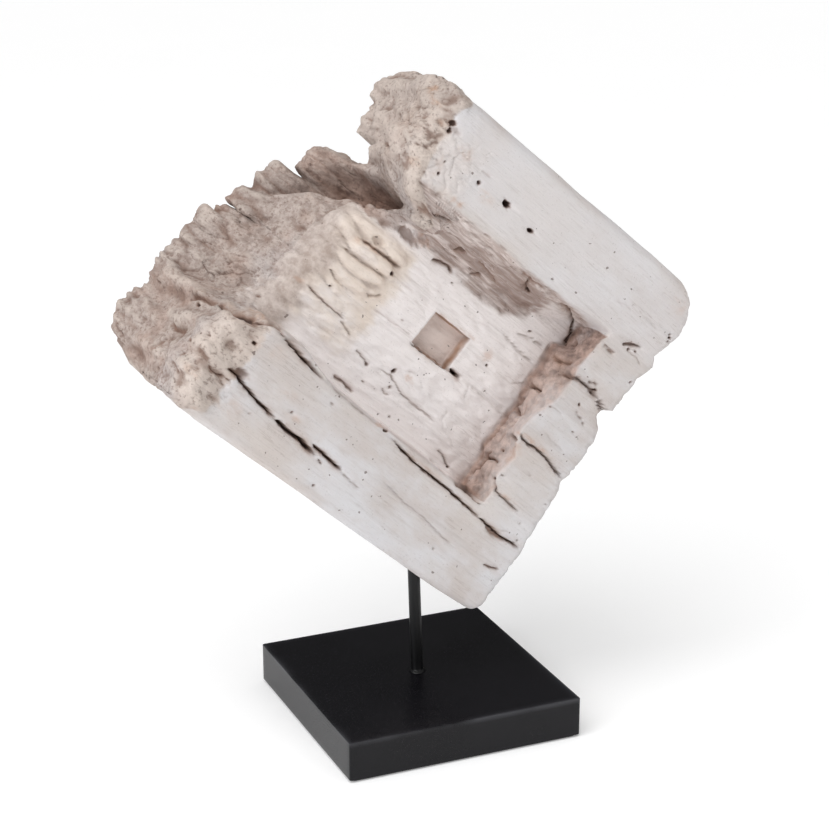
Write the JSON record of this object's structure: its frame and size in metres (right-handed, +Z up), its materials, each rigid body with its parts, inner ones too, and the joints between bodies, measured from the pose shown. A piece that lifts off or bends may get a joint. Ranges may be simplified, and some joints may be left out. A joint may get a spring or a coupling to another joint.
{
  "type": "eroded wood on stand",
  "caption": "Leaning hewn block of bleached, eroded wood with a trough and mortise, on a black steel post and square black base.",
  "frame": {"origin": "the middle of the felt's underside, which the stand rests on", "axes": "+Z up; X and Y run along the base's sides; the wood's worked face looks along -Y"},
  "size_m": [0.4387, 0.2, 0.5285],
  "materials": {
    "bleached_wood": "matte",
    "black_steel": "satin",
    "black_lacquer": "satin",
    "zinc": "satin",
    "felt": "matte"
  },
  "bodies": {
    "root": {"eroded_wood": "bleached_wood", "post": "black_steel", "base_block": "black_lacquer", "washer": "zinc", "nut": "zinc", "felt_sheet": "felt"}
  },
  "joints": []
}
